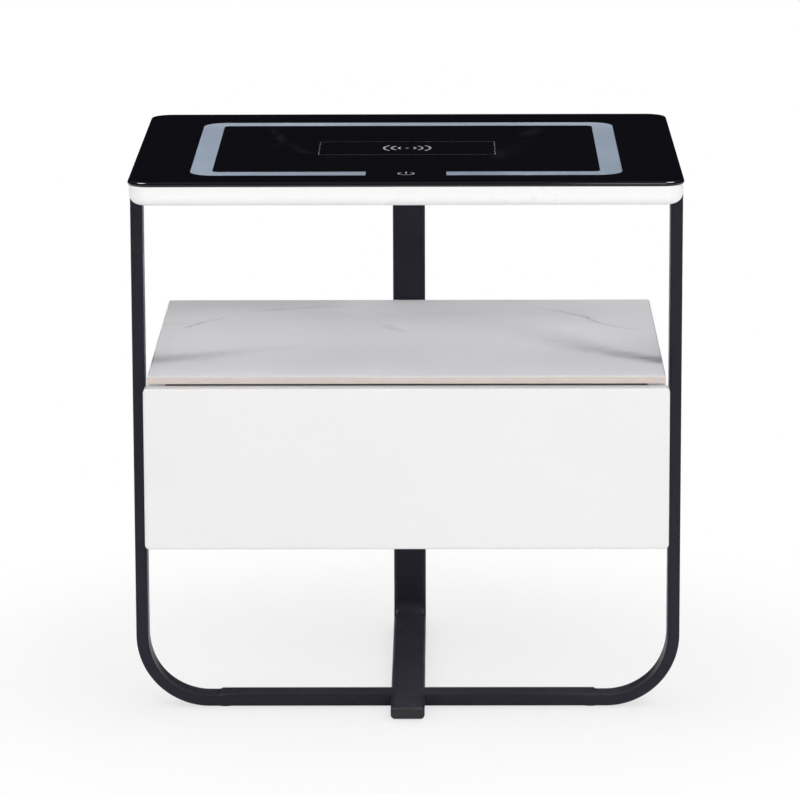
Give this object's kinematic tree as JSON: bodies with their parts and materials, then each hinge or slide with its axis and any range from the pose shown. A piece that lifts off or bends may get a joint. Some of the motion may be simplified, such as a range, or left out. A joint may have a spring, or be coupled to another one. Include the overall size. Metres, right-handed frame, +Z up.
{
  "type": "smart nightstand",
  "caption": "Bedside table with a black glass top with light band and charging zone on a bent tube frame, and a hung drawer case under a marble-look slab.",
  "frame": {"origin": "on the floor under the middle of the stand", "axes": "+Z up, -Y towards the drawer front, +X to the right seen from the front"},
  "size_m": [0.497, 0.404, 0.5005],
  "materials": {
    "powder_coat": "satin powder coat",
    "black_glass": "polished, printed black on the back with a frosted band",
    "white_lacquer": "satin white lacquer on fibreboard",
    "sintered_marble": "matt with grey veins",
    "drawer_board": "melamine-faced board",
    "beech": "plain",
    "zinc_steel": "zinc plated",
    "ball_steel": "polished",
    "black_screws": "black oxide",
    "black_plastic": "fine moulded grain",
    "pad_rubber": "matt",
    "bumper_rubber": "clear, soft",
    "frosted_acrylic": "frosted",
    "white_plastic": "moulded",
    "led_strip": "flexible circuit",
    "led_lens": "clear lens",
    "ferrite": "matt",
    "copper_winding": "lacquered copper",
    "circuit_board": "solder resist",
    "chip_black": "moulded",
    "ribbon_grey": "flat lead"
  },
  "bodies": {
    "frame": {"u_frame": "powder_coat", "rear_leg": "powder_coat", "foot_stub": "powder_coat", "left_top_plate": "powder_coat", "right_top_plate": "powder_coat", "rear_top_plate": "powder_coat", "top_glass": "black_glass", "top_housing": "white_lacquer", "case_left_side": "white_lacquer", "case_right_side": "white_lacquer", "case_top": "white_lacquer", "case_bottom": "white_lacquer", "case_back": "white_lacquer", "marble_slab": "sintered_marble", "case_dowels": "beech", "left_cabinet_rail": "zinc_steel", "right_cabinet_rail": "zinc_steel", "cabinet_rail_screws": "zinc_steel", "rivet_nuts": "zinc_steel", "socket_nut": "zinc_steel", "top_plate_screws": "black_screws", "side_bolts": "black_screws", "rear_bolts": "black_screws", "stub_end_cap": "black_plastic", "side_spacers": "black_plastic", "power_socket": "black_plastic", "floor_pads": "pad_rubber", "drawer_bumpers": "bumper_rubber", "light_guide": "frosted_acrylic", "led_channel": "white_plastic", "coil_holder": "white_plastic", "touch_pillar": "white_plastic", "board_posts": "white_plastic", "led_strip": "led_strip", "touch_sensor": "led_strip", "leds": "led_lens", "ferrite_sheet": "ferrite", "charging_coil": "copper_winding", "control_board": "circuit_board", "board_chips": "chip_black", "ribbon_leads": "ribbon_grey"},
    "slide_middle": {"left_middle_rail": "zinc_steel", "right_middle_rail": "zinc_steel"},
    "outer_cages": {"outer_ball_cages": "ball_steel", "outer_balls": "ball_steel"},
    "inner_cages": {"inner_ball_cages": "ball_steel", "inner_balls": "ball_steel"},
    "drawer": {"drawer_front": "white_lacquer", "drawer_left_side": "drawer_board", "drawer_right_side": "drawer_board", "drawer_box_front": "drawer_board", "drawer_back": "drawer_board", "drawer_bottom": "drawer_board", "drawer_dowels": "beech", "drawer_front_screws": "zinc_steel", "drawer_rail_screws": "zinc_steel", "left_drawer_rail": "zinc_steel", "right_drawer_rail": "zinc_steel"}
  },
  "joints": [
    {"name": "drawer_slide", "type": "slide", "parent": "frame", "child": "drawer", "axis": [0, -1, 0], "range_m": [0, 0.24]},
    {"name": "middle_slide", "type": "slide", "parent": "frame", "child": "slide_middle", "axis": [0, -1, 0], "range_m": [0, 0.12]},
    {"name": "outer_cage_roll", "type": "slide", "parent": "frame", "child": "outer_cages", "axis": [0, -1, 0], "range_m": [0, 0.06]},
    {"name": "inner_cage_roll", "type": "slide", "parent": "frame", "child": "inner_cages", "axis": [0, -1, 0], "range_m": [0, 0.18]}
  ],
  "couplings": [
    {"joint": "middle_slide", "follows": "drawer_slide", "ratio": 0.5},
    {"joint": "outer_cage_roll", "follows": "drawer_slide", "ratio": 0.25},
    {"joint": "inner_cage_roll", "follows": "drawer_slide", "ratio": 0.75}
  ]
}
